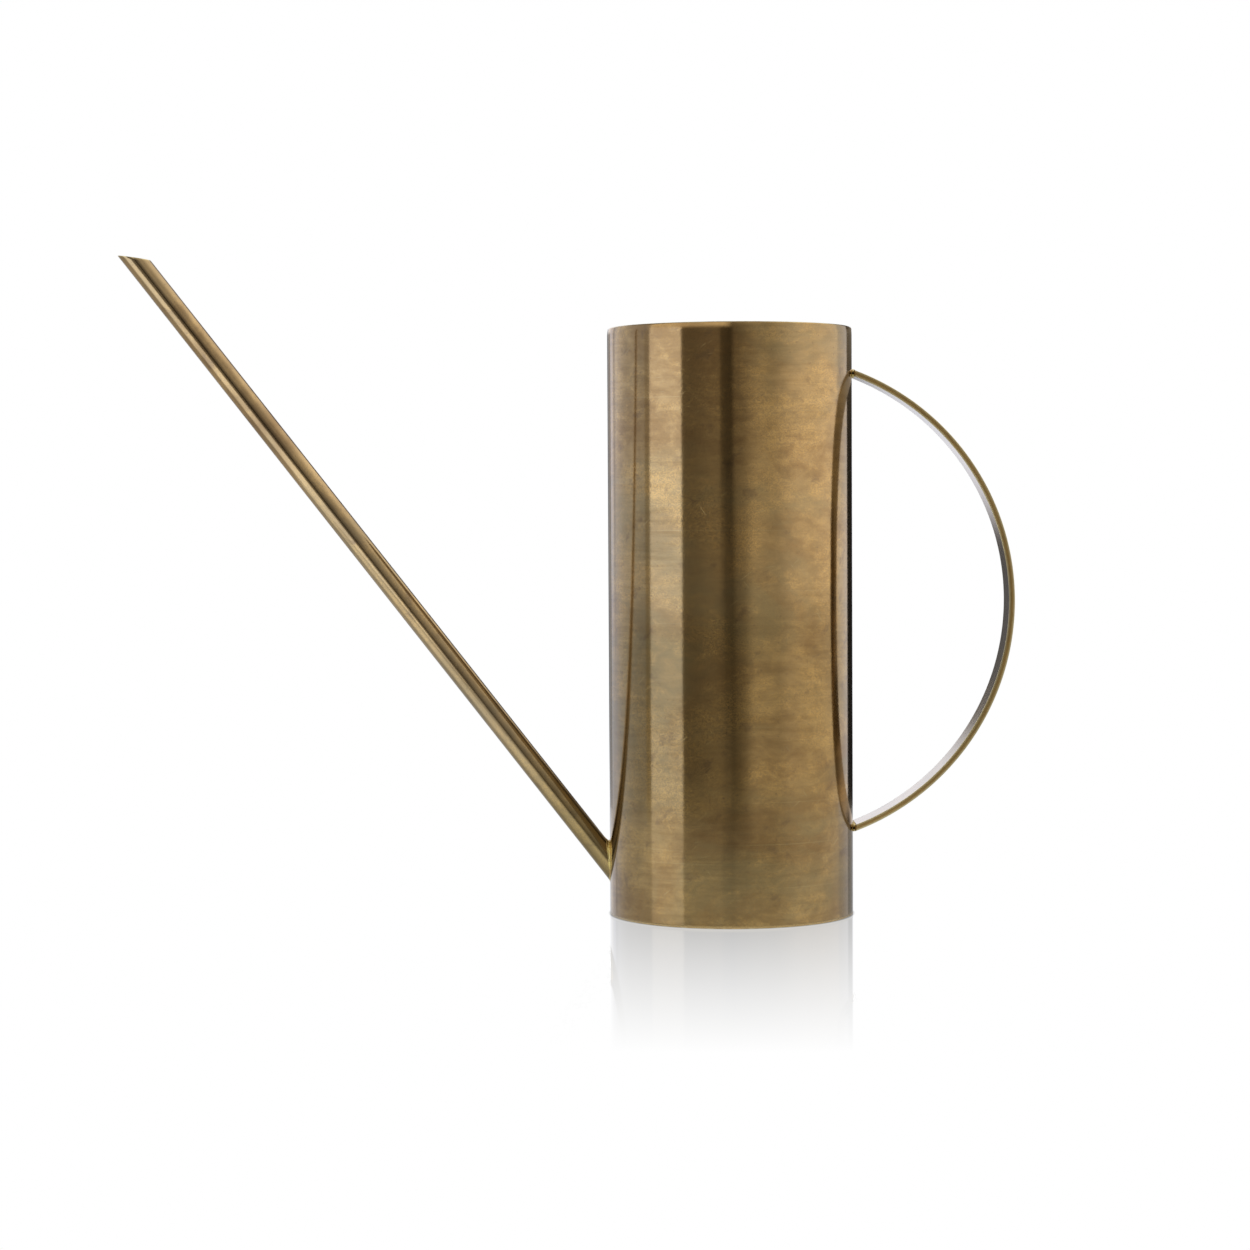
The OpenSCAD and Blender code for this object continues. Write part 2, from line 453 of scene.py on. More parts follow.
# how much the painted glints brighten the colour
PAINTED_GLINT_TINT = (1.30, 1.26, 1.12)
SMUDGE, FLECK, LINE, SCRATCH = 0.5, 0.45, 0.22, 0.5
IN_BRASS = 0.85
ROUGHNESS, EDGE_ROUGH, INSIDE_ROUGH = 0.11, 0.16, 0.38
CLOUD_ROUGH, STREAK_ROUGH, SCRATCH_ROUGH = 0.03, 0.02, 0.12
INSIDE_METALLIC = 0.5
BRUSHED, RIPPLED, GRAINED, SCRATCHED, FLECKED = 0.0000022, 0.00012, 0.000016, -0.000004, -0.000003


def empty_material(name):
    """A new material's node tree, cleared, and the place on its piece's unrolled metal."""
    material = bpy.data.materials.new(name)
    material.use_nodes = True
    tree = material.node_tree
    tree.nodes.clear()
    return material, tree, add(tree, "ShaderNodeUVMap", uv_map="Sheet").outputs[0]


def bumped(tree, height):
    """The normal that a height in metres gives."""
    return add(tree, "ShaderNodeBump", in_Height=height, in_Strength=1.0, in_Distance=1.0).outputs[0]


def brass_material(name, shift, cloud=1.0, streak=0.8, scratches=1.0, tone=(1.0, 1.0, 1.0), grain=1.0,
                   coat=0.4, deeper=None, matt_edge=None, in_floor=False):
    """Aged lacquered brass: gold, brown and olive by the patina's masks, brushed along the sheet's first
    axis. deeper is (axis, place, softness, tint): the tint multiplies the colour below that place on that
    axis of the sheet. matt_edge is (half width, half way round): a duller band at 0 and half way round the
    second axis. in_floor is whether the floor's clear reflection shows it."""
    look = settings().brass
    material, tree, sheet = empty_material(name)
    patina = add(tree, "ShaderNodeGroup", node_tree=shared_group("Patina", patina_group),
                 in_Sheet=sheet, in_Shift=shift).outputs
    scratch = add(tree, "ShaderNodeGroup", node_tree=shared_group("Scratches", scratch_group),
                  in_Sheet=sheet, in_Amount=scratches).outputs[0]
    rubbed_and_highlit = add(tree, "ShaderNodeGroup", node_tree=shared_group("Rubbed And Highlit Edge", rubbed_and_highlit_edge_group),
                 in_Sheet=sheet).outputs[0]
    gold, brown, olive, smudge = [[c * t for c, t in zip(shade, tone)]
                                  for shade in (look.gold, look.brown, look.olive, look.smudge)]
    colour = blend_colour(tree, times(tree, patina["Cloud"], cloud), gold,
                          blend_colour(tree, patina["Bloom"], brown, olive))
    streaked = tinted(tree, colour, STREAK_TINT)
    colour = blend_colour(tree, times(tree, patina["Streak"], streak), colour, streaked)
    for mask, strength, shade in (("Smudge", SMUDGE * cloud, smudge), ("Fleck", FLECK, smudge),
                                  ("Line", LINE, look.bright)):
        colour = blend_colour(tree, times(tree, patina[mask], strength), colour, shade)
    # painted glints: the colour is brightened along the winding lines
    glint_amount = times(tree, patina["Painted Glint"], min(grain, 1.0))
    colour = blend_colour(tree, glint_amount, colour, tinted(tree, colour, PAINTED_GLINT_TINT))
    colour = blend_colour(tree, times(tree, scratch, SCRATCH), colour, look.bright)
    # partly rubbed brass, partly painted highlight: the edges are painted bright
    colour = blend_colour(tree, rubbed_and_highlit, colour, look.bright)
    # what one piece of brass sees of another is duller and less yellow than two mirrors of brass would be,
    # but what stands inside the can sees only its own kind, and keeps its colour there
    outside = add(tree, "ShaderNodeAttribute", attribute_name="outside").outputs["Fac"]
    glossy_ray = add(tree, "ShaderNodeLightPath").outputs["Is Glossy Ray"]
    colour = blend_colour(tree, times(tree, times(tree, glossy_ray, outside), IN_BRASS), colour, look.second)
    along = add(tree, "ShaderNodeSeparateXYZ", in_Vector=sheet).outputs
    if deeper:
        axis, place, soft, tint = deeper
        uneven = stretched_noise(tree, sheet, (12, 40), shift=(0, 8, 0), detail=4.0)
        uneven = times(tree, maths(tree, "SUBTRACT", uneven, 0.5), 2 * soft)
        low = remap(tree, plus(tree, along[axis], uneven), place + soft, place - soft)
        colour = blend_colour(tree, low, colour, tinted(tree, colour, tint))
    # the inside is bare metal, dulled by water
    rough = plus(tree, times(tree, patina["Cloud"], CLOUD_ROUGH), ROUGHNESS,
                 times(tree, patina["Streak"], STREAK_ROUGH), times(tree, scratch, SCRATCH_ROUGH),
                 remap(tree, outside, 0.0, 1.0, INSIDE_ROUGH, 0.0, smooth=False))
    metallic = remap(tree, outside, 0.0, 1.0, INSIDE_METALLIC, 1.0, smooth=False)
    if matt_edge:
        half, half_way = matt_edge
        from_middle = maths(tree, "FLOORED_MODULO", plus(tree, along[1], half_way / 2), half_way)
        from_middle = maths(tree, "ABSOLUTE", maths(tree, "SUBTRACT", from_middle, half_way / 2))
        rough = plus(tree, rough, remap(tree, from_middle, half, 1.3 * half, EDGE_ROUGH, 0.0))
    fine = stretched_noise(tree, sheet, (60, 2400), detail=4.0, roughness=0.7)
    ripple = stretched_noise(tree, sheet, (14, 26), shift=(1, 6, 0), detail=2.0)
    grained = times(tree, patina["Grain"], remap(tree, patina["Cloud"], 0.0, 1.0, 1.0, 0.35))
    height = plus(tree, times(tree, fine, BRUSHED * grain), times(tree, ripple, RIPPLED),
                  times(tree, grained, GRAINED * grain), times(tree, scratch, SCRATCHED),
                  times(tree, patina["Fleck"], FLECKED))
    tangent = add(tree, "ShaderNodeTangent", direction_type="UV_MAP", uv_map="Sheet").outputs[0]
    shader = add(tree, "ShaderNodeBsdfPrincipled", in_Base_Color=colour, in_Roughness=rough,
                 in_Metallic=metallic, in_Normal=bumped(tree, height), in_Tangent=tangent)
    # a quarter turn of the anisotropy keeps reflections sharp across the brushing
    for socket, value in (("Anisotropic", 0.8), ("Anisotropic Rotation", 0.25), ("Coat Weight", coat),
                          ("Coat Roughness", 0.07), ("Coat IOR", 1.45)):
        shader.inputs[socket].default_value = value
    if not in_floor:
        unseen_in_floor(tree, shader)
    add(tree, "ShaderNodeOutputMaterial", in_Surface=shader.outputs[0])
    return material


def unseen_in_floor(tree, shader):
    """Lets the rays of a perfect mirror, which only the floor is, pass through the shader's surface."""
    mirrored = add(tree, "ShaderNodeLightPath").outputs["Is Singular Ray"]
    tree.links.new(maths(tree, "SUBTRACT", 1.0, mirrored), shader.inputs["Alpha"])


BRAZE_NAME = "Brazing Metal"


def braze_material():
    """Yellow brazing metal: brighter than the sheet, slightly pitted, and painted nearly black in its
    crevices as painted shade.
    """
    look = settings().brass
    material, tree, sheet = empty_material(BRAZE_NAME)
    lumps = stretched_noise(tree, sheet, (420, 420), detail=4.0, roughness=0.6, warp=0.5)
    pits = stretched_noise(tree, sheet, (1500, 1500), shift=(2, 2, 0), detail=2.0)
    colour = blend_colour(tree, remap(tree, lumps, 0.42, 0.68), look.braze, [c * 0.9 for c in look.gold])
    pitted = remap(tree, pits, 0.6, 0.72, 0.0, 0.7)
    colour = blend_colour(tree, pitted, colour, [c * 0.4 for c in look.brown])
    painted_gap_shade = add(tree, "ShaderNodeAttribute", attribute_name="wear_and_painted_light").outputs["Fac"]
    # painted shade: where the bead leaves a gap, the colour is painted nearly black
    colour = blend_colour(tree, remap(tree, painted_gap_shade, 0.3, 0.7), colour, (0.02, 0.014, 0.008))
    height = plus(tree, times(tree, lumps, 0.00012), times(tree, pits, 0.00002))
    shader = add(tree, "ShaderNodeBsdfPrincipled", in_Base_Color=colour,
                 in_Roughness=remap(tree, lumps, 0.3, 0.7, 0.22, 0.42), in_Normal=bumped(tree, height))
    for socket, value in (("Metallic", 1.0), ("Coat Weight", 0.15), ("Coat Roughness", 0.15)):
        shader.inputs[socket].default_value = value
    unseen_in_floor(tree, shader)
    add(tree, "ShaderNodeOutputMaterial", in_Surface=shader.outputs[0])
    return material


def make_braze(name, node, points, faces, sheet, wear_and_painted_light=None, round_trip=None):
    """A piece of brazing metal. All of them share one material."""
    wear_and_painted_light = np.zeros(len(points)) if wear_and_painted_light is None else wear_and_painted_light
    material = bpy.data.materials.get(BRAZE_NAME) or braze_material()
    make_piece(name, points, faces, sheet, wear_and_painted_light, material, "braze", node, round_trip=round_trip)


# ---------------------------------------------------------------- the pieces

LATHE_COLUMNS = 192
# Half the strap's width, front to back
STRAP_HALF = float(STRAP_HIGH[1] - STRAP_LOW[1]) / 2


# The patch of the can wall's grid that the port's own rings take over: its first row, how many rows it has
# and its columns on each side of the middle
PATCH_LOW, PATCH_ROWS, PATCH_HALF = 5, 18, 7
# Half the patch's width and height in millimetres
PORT_HALF_WIDE, PORT_HALF_HIGH = 7.5, 13
# How far each ring stands out from the port, as a share of the way to the patch's outline
PORT_SHARES = (1.0, 0.7, 0.42, 0.2, 0.07, 0.0)


def wall_section():
    """The can wall's section, up the outside and down the inside: the wall leans in a hair just below a lip
    that is rounder outside than inside. The two arcs meet at the lip's top, so the inner side leaves out its
    last point."""
    size = settings().can
    inner_r = CAN_R - size.wall
    lip_inner = size.wall - size.turn_in - size.lip_outer
    top = CAN_TOP - size.lip_outer
    port_low, port_high = SPOUT_FOOT[2] - PORT_HALF_HIGH * MM, SPOUT_FOOT[2] + PORT_HALF_HIGH * MM
    levels = np.concatenate([
        BASE_TOP + np.array([0, 0.25, 0.6, 1.5, 4]) * MM,
        np.linspace(port_low, port_high, PATCH_ROWS + 1),
        np.linspace(port_high + 6 * MM, top - 5 * MM, 30),
        top - np.array([2.4, 2.0, 1.6, 1.2, 0.8, 0.4, 0]) * MM])
    arc = np.linspace(0, math.pi / 2, 10)[1:]
    inner_arc = np.linspace(0, math.pi / 2, 9)[1:-1]
    lean_in = size.turn_in * np.clip(1 - (top - levels) / (2.4 * MM), 0, 1) ** 2
    outer_r = np.concatenate([CAN_R - lean_in, CAN_R - size.turn_in - size.lip_outer * (1 - np.cos(arc))])
    outer_z = np.concatenate([levels, top + size.lip_outer * np.sin(arc)])
    inner_side_r = np.concatenate([np.full(len(levels), inner_r),
                                   inner_r + lip_inner * (1 - np.cos(inner_arc))])
    inner_z = np.concatenate([np.minimum(levels, CAN_TOP - lip_inner),
                              CAN_TOP - lip_inner + lip_inner * np.sin(inner_arc)])
    return np.concatenate([outer_r, inner_side_r[::-1]]), np.concatenate([outer_z, inner_z[::-1]])


def add_can_wall():
    """The rolled sheet: its section carried round the can's axis from one side of the seam to the other,
    with an oval port through it where the spout's bore meets the wall. Round the port, rings of points pass
    from the grid's square patch to the oval."""
    size = settings().can
    inner_r = CAN_R - size.wall
    columns = 257
    gap_turn = size.seam_gap / 2 / CAN_R
    # the turn runs from the spout's side both ways to the seam; the middle column faces the spout
    turn = np.linspace(-math.pi + gap_turn, math.pi - gap_turn, columns)
    ring_r, ring_z = wall_section()
    rows = len(ring_r)
    across = turn[None, :] * ring_r[:, None]
    points = on_can(np.repeat(ring_z[:, None], columns, 1), across, ring_r[:, None]).reshape(-1, 3)
    faces = grid_faces(rows, columns, wrap_rows=True)
    first_row, last_row = PATCH_LOW, PATCH_LOW + PATCH_ROWS
    left, right = columns // 2 - PATCH_HALF, columns // 2 + PATCH_HALF
    row, column = faces[:, 0] // columns, faces[:, 0] % columns
    in_rows = (row >= first_row) & (row < last_row)
    in_rows |= (row >= rows - 1 - last_row) & (row < rows - 1 - first_row)
    faces = [faces[~((column >= left) & (column < right) & in_rows)]]
    # the patch's outline, walked once round
    walk_c = np.concatenate([np.arange(left, right), np.full(PATCH_ROWS, right), np.arange(right, left, -1),
                             np.full(PATCH_ROWS, left)])
    walk_r = np.concatenate([np.full(right - left, first_row), np.arange(first_row, last_row),
                             np.full(right - left, last_row), np.arange(last_row, first_row, -1)])
    share = np.array(PORT_SHARES)[:, None, None]
    steps = len(PORT_SHARES) - 1
    rims = []
    for radius, row_of in ((CAN_R, walk_r), (inner_r, rows - 1 - walk_r)):
        outline = row_of * columns + walk_c
        rect = np.stack([turn[walk_c] * radius, ring_z[row_of]], 1)
        around = np.arctan2(rect[:, 0] / PORT_HALF_WIDE, (rect[:, 1] - SPOUT_FOOT[2]) / PORT_HALF_HIGH)
        rim = rod_point(around, BORE_R, rod_meets_cylinder(around, BORE_R, radius))
        oval = np.stack([np.arctan2(rim[:, 1], -rim[:, 0]) * radius, rim[:, 2]], 1)
        rings = oval[None] * (1 - share) + rect[None] * share
        laid = on_can(rings[..., 1], rings[..., 0], radius)[1:].reshape(-1, 3)
        numbers = np.concatenate([outline, len(points) + np.arange(len(laid))]).reshape(steps + 1, -1)
        points = np.concatenate([points, laid])
        faces.append(numbers.ravel()[grid_faces(steps + 1, len(outline), wrap_columns=True)])
        rims.append(numbers[-1])
    # the port's edge, through the sheet, and the sheet's two edges at the seam
    faces.append(np.stack([rims[0], np.roll(rims[0], -1), np.roll(rims[1], -1), rims[1]], 1))
    faces += [cap_faces(np.arange(rows) * columns + edge) for edge in (0, columns - 1)]
    # the sheet's second axis runs up the outside, over the lip and down the inside
    inside = np.hypot(points[:, 0], points[:, 1]) < CAN_R - size.wall * 0.5
    up = np.where(inside, 2 * CAN_TOP - points[:, 2], points[:, 2])
    sheet = np.stack([np.arctan2(points[:, 1], -points[:, 0]) * CAN_R, up], 1)
    # the lip's top and the wall's foot are painted bright, partly as rubbed brass and partly as a painted
    # highlight along their rounded edges
    lip = np.clip(1 - (CAN_TOP - points[:, 2]) / (0.9 * MM), 0, 1)
    foot = np.clip(1 - (points[:, 2] - BASE_TOP) / (0.7 * MM), 0, 1)
    wear_and_painted_light = np.maximum(lip * 0.8, foot * 0.4)
    material = brass_material("Can Brass", shift=0.0, tone=(1.01, 1.015, 1.06), in_floor=True,
                              deeper=(1, 0.125, 0.014, (0.765, 0.765, 0.72)))
    make_piece("can_wall", points, np.concatenate(faces), sheet, wear_and_painted_light, material, "can_brass", "body_shell")


def lathe(radii, heights, turn, wobble=None):
    """Points of an outline carried right round the can's axis: (r cos a, r sin a, z)."""
    r = np.repeat(radii[:, None], len(turn), 1)
    z = np.repeat(heights[:, None], len(turn), 1)
    if wobble is not None:
        r, z = wobble(r, z, turn[None, :])
    return np.stack([r * np.cos(turn), r * np.sin(turn), z], -1).reshape(-1, 3)


def add_base_plate():
    """The base disc: an outline from the middle of its top, over a rounded edge, to the middle of its
    underside, carried round the axis. Each middle is a small square grid of quads, so no pole is pinched."""
    bevel = settings().can.base_bevel
    arc = np.linspace(0, math.pi / 2, 6)
    rings = np.array([0.12, 0.3, 0.5, 0.7, 0.85, 0.94, 0.975])
    softened = 0.06 * MM
    radii = np.concatenate([rings * CAN_R, [CAN_R - softened, CAN_R], CAN_R - bevel * (1 - np.cos(arc)),
                            rings[::-1] * CAN_R])
    heights = np.concatenate([np.full(len(rings) + 1, BASE_TOP), [BASE_TOP - softened],
                              bevel * (1 - np.sin(arc)), np.zeros(len(rings))])
    turn = whole_circle(LATHE_COLUMNS)
    points = lathe(radii, heights, turn)
    faces = [grid_faces(len(radii), len(turn), wrap_columns=True)]
    inmost = np.arange(len(turn))
    points, faces = close_disc(points, faces, inmost, BASE_TOP)
    points, faces = close_disc(points, faces, (len(radii) - 1) * len(turn) + inmost, 0.0)
    sheet = points[:, :2] + np.where(points[:, 2] > BASE_TOP / 2, 4.0, 6.0)[:, None]
    radius = np.hypot(points[:, 0], points[:, 1])
    # the disc's outer edge is painted bright, partly as rubbed brass and partly as a painted highlight along
    # its rounded edge
    wear_and_painted_light = 0.5 * np.clip(1 - (CAN_R - radius) / (0.8 * MM), 0, 1)
    material = brass_material("Base Brass", shift=3.0, cloud=0.8, streak=0.5, tone=(0.8, 0.8, 0.75),
                              in_floor=True)
    make_piece("base_plate", points, np.concatenate(faces), sheet, wear_and_painted_light, material, "can_brass", "base_disc")


def close_disc(points, faces, ring, height):
    """Closes a round hole with a square grid: the ring's points are spread over the grid's border."""
    side = len(ring) // 4
    ring_xy = points[ring][:, :2]
    reach = np.hypot(*ring_xy[0]) * 0.72
    line = np.linspace(-1, 1, side + 1)
    gx, gy = np.meshgrid(line, line, indexing="ij")
    # a square bent towards a disc, so that its border lies evenly inside the ring
    gx, gy = gx * np.sqrt(1 - gy ** 2 / 2), gy * np.sqrt(1 - gx ** 2 / 2)
    grid_points = np.stack([gx * reach, gy * reach, np.full_like(gx, height)], -1).reshape(-1, 3)
    start = len(points)
    numbers = start + np.arange((side + 1) ** 2).reshape(side + 1, side + 1)
    border = np.concatenate([numbers[-1, :-1], numbers[::-1, -1][:-1], numbers[0, ::-1][:-1],
                             numbers[:, 0][:-1]])
    border_angle = np.arctan2(*grid_points[border - start][:, 1::-1].T)
    begin = int(np.argmin(np.abs(border_angle)))
    border = np.roll(border, -begin)
    quads = numbers.ravel()[grid_faces(side + 1, side + 1)]
    joined = np.stack([ring, np.roll(ring, -1), np.roll(border, -1), border], 1)
    return np.concatenate([points, grid_points]), faces + [quads, joined]


def add_spout():
    """The spout: outer tube, rounded rim, bore and coped end face as one closed loop of rows. Each row's
    place along the axis is a mix of two ends: where that line of the tube meets the can, and where it meets
    the slanted mouth."""
    size = settings().spout
    columns = 96
    angle = whole_circle(columns)
    slant = math.tan(size.mouth_angle)
    tip = np.array([SPOUT_LOW[0], 0, SPOUT_HIGH[2]]) - SPOUT_FOOT
    middle = tip @ SPOUT_AXIS - TUBE_R * slant
    share = np.concatenate([[0, 0.004, 0.012, 0.03], np.linspace(0.06, 0.94, 60), [0.97, 0.988, 0.996]])

    def row(radius, part, back=0.0):
        """One row of points: part of the way from the can to the mouth, less a set-back from the mouth."""
        low = rod_meets_cylinder(angle, radius, CAN_R)
        high = middle - radius * np.cos(angle) * slant
        return rod_point(angle, radius, low + (high - back - low) * part)

    arc = np.linspace(0, math.pi / 2, 5)
    rows = [row(TUBE_R, s, size.rim) for s in share]
    rows += [row(TUBE_R - size.rim * (1 - math.cos(a)), 1, size.rim * (1 - math.sin(a))) for a in arc]
    rows += [row(BORE_R + size.rim * (1 - math.sin(a)), 1, size.rim * (1 - math.cos(a))) for a in arc]
    rows += [row(BORE_R, s, size.rim) for s in share[::-1]]
    points = np.concatenate(rows)
    faces = grid_faces(len(rows), columns, wrap_rows=True, wrap_columns=True)
    offset = points - SPOUT_FOOT
    along = offset @ SPOUT_AXIS
    side = np.arctan2(offset @ SPOUT_ACROSS, offset @ SPOUT_SIDE)
    count = len(share) + len(arc)
    inner = np.repeat(np.arange(len(rows)) >= count, columns)
    from_mouth = middle - np.tile(TUBE_R * np.cos(angle) * slant, len(rows)) - along
    sheet = np.stack([along + np.where(inner, 2 * from_mouth, 0), side * TUBE_R], 1)
    wear_and_painted_light = np.clip(1 - from_mouth / (0.8 * MM), 0, 1)
    material = brass_material("Spout Brass", shift=11.0, scratches=0.5, tone=(0.89, 0.985, 1.36), grain=0.8,
                              coat=0.5, deeper=(0, 0.035, 0.035, (0.65, 0.65, 0.50)))
    make_piece("spout", points, faces, sheet, wear_and_painted_light, material, "spout_brass", "spout_tube",
               round_trip=(1, WHOLE_TURN * TUBE_R))


def strap_section(size):
    """The strap's outline, the outer half then the inner half, as depth from the outer face and place
    across."""
    half = STRAP_HALF
    r = size.edge
    arc = np.linspace(0, math.pi / 2, 5)
    flat = np.array([-0.97, -0.9, -0.7, -0.35, 0, 0.35, 0.7, 0.9, 0.97]) * (half - r)
    # from the middle of one edge, over the outer face, to the middle of the other edge
    across = np.concatenate([[-half], -half + r * (1 - np.cos(arc)), flat,
                             half - r * (1 - np.cos(arc[::-1])), [half]])
    depth = np.concatenate([[size.thickness / 2], r * (1 - np.sin(arc)), np.zeros(len(flat)),
                            r * (1 - np.sin(arc[::-1])), [size.thickness / 2]])
    mirrored = np.concatenate([depth, (size.thickness - depth)[1:-1][::-1]])
    return mirrored, np.concatenate([across, across[1:-1][::-1]])


def add_strap():
    """The handle strap: a rounded bar section carried along the bow's arc. Each line of the section has its
    own radius and runs between its two ends, both cut in one upright plane."""
    size = settings().strap
    depth, across = strap_section(size)
    radius = BOW_R - depth
    end_turn = np.arccos((STRAP_LOW[0] - BOW_X) / radius)
    part = np.linspace(1, -1, 241)[:, None]
    turn = part * end_turn[None, :]
    points = np.stack([BOW_X + radius * np.cos(turn), np.broadcast_to(across, turn.shape),
                       BOW_Z + radius * np.sin(turn)], -1)
    rows, columns = turn.shape
    points = points.reshape(-1, 3)
    perimeter = np.concatenate([[0], np.cumsum(np.hypot(np.diff(depth), np.diff(across)))])
    sheet = np.stack([turn * BOW_R, np.broadcast_to(perimeter, turn.shape)], -1).reshape(-1, 2)
    to_side = STRAP_HALF - np.abs(across)
    to_face = np.minimum(depth, size.thickness - depth)
    corner = np.clip(1 - (np.maximum(to_side, to_face) - size.edge) / (0.12 * MM), 0, 1)
    loop = float(perimeter[-1] + math.hypot(depth[-1] - depth[0], across[-1] - across[0]))
    material = brass_material("Strap Brass", shift=17.0, cloud=0.8, scratches=0.8, tone=(1.0, 1.0, 0.9),
                              grain=0.5, coat=0.8, matt_edge=(1.0 * MM, loop / 2))
    make_piece("strap", points, bar_faces(rows, columns), sheet, np.tile(corner, rows), material,
               "strap_brass", "handle_strap", round_trip=(1, loop))


def add_spout_braze():
    """The spout's braze: round the joint, a hollow curve from a line up the tube to a line out on the can,
    closed below the metal. Both lines wander, and both stand further off in the narrow corner above the
    tube."""
    size = settings().spout
    columns = 160
    angle = whole_circle(columns)
    narrow = (0.5 + 0.5 * np.cos(angle)) ** 2
    uneven = 1 + wave(angle, (0.10, 3, 0.4), (0.07, 7, 1.9), (0.05, 13, 4.0), (0.03, 29, 0.8))
    climb = (size.braze_up + size.pool * narrow) * uneven
    spread = (size.braze_out + 0.45 * size.pool * narrow) * np.roll(uneven, columns // 5)
    joint_t = rod_meets_cylinder(angle, TUBE_R, CAN_R)
    joint = rod_point(angle, TUBE_R, joint_t)
    on_tube = rod_point(angle, TUBE_R + 0.02 * MM, joint_t + climb)
    # outwards from the joint along the can's wall
    flat = np.stack([np.arctan2(joint[:, 1], -joint[:, 0]) * CAN_R, joint[:, 2]], 1)
    tangent = np.roll(flat, -1, 0) - np.roll(flat, 1, 0)
    outward = np.stack([tangent[:, 1], -tangent[:, 0]], 1)
    outward /= np.linalg.norm(outward, axis=1)[:, None]
    if ((flat - flat.mean(0)) * outward).sum() < 0:
        outward = -outward
    spot = flat + outward * spread[:, None]
    on_wall = on_can(spot[:, 1], spot[:, 0], CAN_R + 0.02 * MM)
    under_wall = on_can(spot[:, 1], spot[:, 0], CAN_R - 0.15 * MM)
    in_tube = rod_point(angle, TUBE_R - 0.15 * MM, joint_t + climb)
    buried = rod_point(angle, TUBE_R - 0.15 * MM, joint_t - 0.1 * MM)
    hollow = joint + 0.12 * (on_tube - joint) + 0.12 * (on_wall - joint)
    t = np.linspace(0, 1, 11)[:, None, None]
    curve = (1 - t) ** 2 * on_tube + 2 * t * (1 - t) * hollow + t ** 2 * on_wall
    grid = np.concatenate([curve, under_wall[None], buried[None], in_tube[None]])
    rows = len(grid)
    points = grid.reshape(-1, 3)
    faces = grid_faces(rows, columns, wrap_rows=True, wrap_columns=True)
    down = np.cumsum(np.linalg.norm(np.diff(grid, axis=0, prepend=grid[:1]), axis=2), 0)
    sheet = np.stack([np.broadcast_to(angle * TUBE_R, down.shape), down], -1).reshape(-1, 2)
    make_braze("spout_fillet", "spout_braze", points, faces, sheet, round_trip=(0, WHOLE_TURN * TUBE_R))


def strap_bead(name, node, height, seed):
    """A bead across one end of the strap: an oval section that follows the can's wall, swells and thins
    along its length, and shrinks to a point at both ends."""
    size = settings().strap
    around = whole_circle(28)
    part = np.sin(np.linspace(-math.pi / 2, math.pi / 2, 81))
    y = part * (STRAP_HALF - 0.5 * MM)
    taper = np.sqrt(np.clip(1 - np.abs(part) ** 6, 0.0004, 1))
    lumps = 1 + wave(y / MM, (0.08, 0.9, seed), (0.06, 2.3, seed * 2.1), (0.04, 5.1, seed * 0.7))
    wall_x = np.sqrt(CAN_R ** 2 - y ** 2)
    middle_x = (wall_x + STRAP_LOW[0]) / 2 + 0.05 * MM
    # the bead is deeper where the wall curves away from the strap's square end
    deep = (size.bead_x + (STRAP_LOW[0] - wall_x) * 0.45) * taper * lumps
    tall = size.bead_z * taper * lumps
    points = np.stack([
        middle_x[:, None] + deep[:, None] * np.cos(around),
        np.repeat(y[:, None], len(around), 1),
        height + tall[:, None] * np.sin(around) * (1 + 0.06 * np.sin(2 * around + seed))], -1)
    rows, columns = points.shape[:2]
    points = points.reshape(-1, 3)
    sheet = np.stack([np.repeat(y, columns), np.tile(around * size.bead_z, rows)], 1)
    # painted shade: a near-black pit is painted at each end, where the bead has not quite met the strap
    painted_pit_shade = np.repeat(np.clip((0.4 - taper) / 0.2, 0, 1), columns)
    make_braze(name, node, points, bar_faces(rows, columns), sheet, painted_pit_shade,
               round_trip=(1, WHOLE_TURN * size.bead_z))


def add_strap_brazes():
    """Both beads, at the middles of the strap's ends."""
    middle_r = BOW_R - settings().strap.thickness / 2
    rise = math.sqrt(middle_r ** 2 - (STRAP_LOW[0] - BOW_X) ** 2)
    strap_bead("strap_bead_top", "handle_top_braze", BOW_Z + rise, 1.3)
    strap_bead("strap_bead_bottom", "handle_bottom_braze", BOW_Z - rise, 4.2)


def add_base_fillet():
    """The braze inside the base: a hollow quarter round carried round the axis, of slightly uneven size."""
    size = settings().can
    inner_r = CAN_R - size.wall
    arc = np.linspace(0, math.pi / 2, 9)

    def wobble(r, z, turn):
        """The fillet's points move away from its corner by up to a tenth, in slow uneven waves."""
        swell = 1 + wave(turn, (0.06, 5, 0.3), (0.04, 13, 2.0), (0.03, 31, 1.1))
        return inner_r - (inner_r - r) * swell, BASE_TOP + (z - BASE_TOP) * swell

    radii = np.concatenate([inner_r - size.base_fillet * (1 - np.sin(arc)), [inner_r + 0.1 * MM] * 2,
                            [inner_r - size.base_fillet]])
    heights = np.concatenate([BASE_TOP + size.base_fillet * (1 - np.cos(arc)),
                              [BASE_TOP + size.base_fillet, BASE_TOP - 0.05 * MM], [BASE_TOP - 0.05 * MM]])
    turn = whole_circle(LATHE_COLUMNS)
    points = lathe(radii, heights, turn, wobble)
    faces = grid_faces(len(radii), len(turn), wrap_rows=True, wrap_columns=True)
    sheet = np.stack([np.tile(turn * inner_r, len(radii)),
                      np.repeat(np.arange(len(radii)) * 0.4 * MM, len(turn))], 1)
    make_braze("base_fillet", "base_braze", points, faces, sheet, round_trip=(0, WHOLE_TURN * inner_r))


